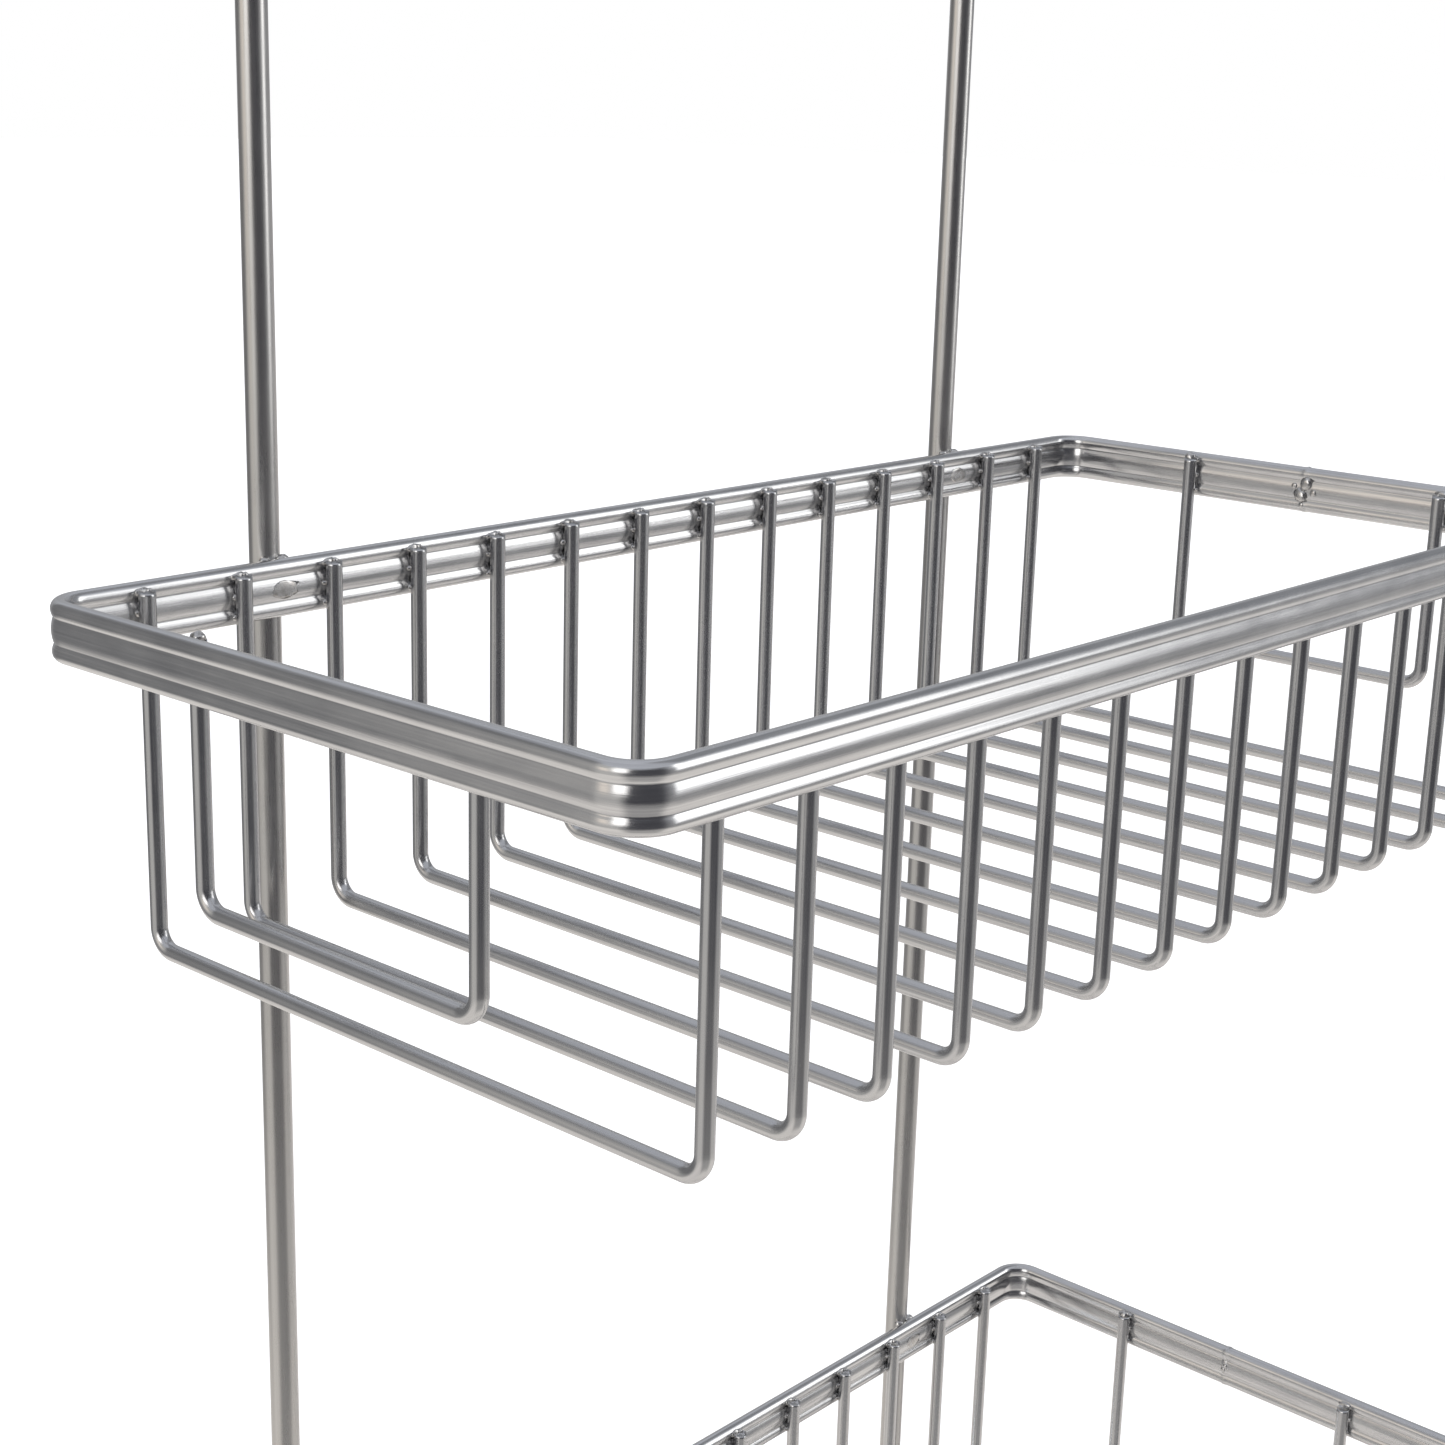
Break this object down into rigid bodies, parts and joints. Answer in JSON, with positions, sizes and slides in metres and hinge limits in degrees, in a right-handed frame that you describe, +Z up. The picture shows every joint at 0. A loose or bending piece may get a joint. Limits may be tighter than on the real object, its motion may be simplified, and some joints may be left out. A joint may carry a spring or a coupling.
{
  "type": "shower caddy",
  "caption": "Hanging wire shower caddy: open-topped baskets with ribbed rims on upright rods, hooks over a glass screen and suction cups below.",
  "frame": {"origin": "on the top edge of the shower screen, midway between the hooks and in the middle of the 8 mm glass, where the hook sleeves rest", "axes": "+X along the baskets to the right seen from the user, +Y from the user towards the screen, +Z up"},
  "size_m": [0.299, 0.1771, 0.5291],
  "materials": {
    "rim_strip": "satin stainless strip with a fine lengthwise brushed grain and polished corners",
    "basket_wire": "satin stainless round wire",
    "rod": "satin stainless round bar",
    "sleeve": "clear soft PVC tube",
    "cup": "clear soft PVC"
  },
  "bodies": {
    "root": {"upper_rim": "rim_strip", "upper_wire_01": "basket_wire", "upper_wire_02": "basket_wire", "upper_wire_03": "basket_wire", "upper_wire_04": "basket_wire", "upper_wire_05": "basket_wire", "upper_wire_06": "basket_wire", "upper_wire_07": "basket_wire", "upper_wire_08": "basket_wire", "upper_wire_09": "basket_wire", "upper_wire_10": "basket_wire", "upper_wire_11": "basket_wire", "upper_wire_12": "basket_wire", "upper_wire_13": "basket_wire", "upper_wire_14": "basket_wire", "upper_end_guard_left": "basket_wire", "upper_end_guard_right": "basket_wire", "lower_rim": "rim_strip", "lower_wire_01": "basket_wire", "lower_wire_02": "basket_wire", "lower_wire_03": "basket_wire", "lower_wire_04": "basket_wire", "lower_wire_05": "basket_wire", "lower_wire_06": "basket_wire", "lower_wire_07": "basket_wire", "lower_wire_08": "basket_wire", "lower_wire_09": "basket_wire", "lower_wire_10": "basket_wire", "lower_wire_11": "basket_wire", "lower_wire_12": "basket_wire", "lower_wire_13": "basket_wire", "lower_wire_14": "basket_wire", "lower_end_guard_left": "basket_wire", "lower_end_guard_right": "basket_wire", "hanging_rod_left": "rod", "hook_sleeve_left": "sleeve", "suction_cup_left": "cup", "hanging_rod_right": "rod", "hook_sleeve_right": "sleeve", "suction_cup_right": "cup"}
  },
  "joints": []
}
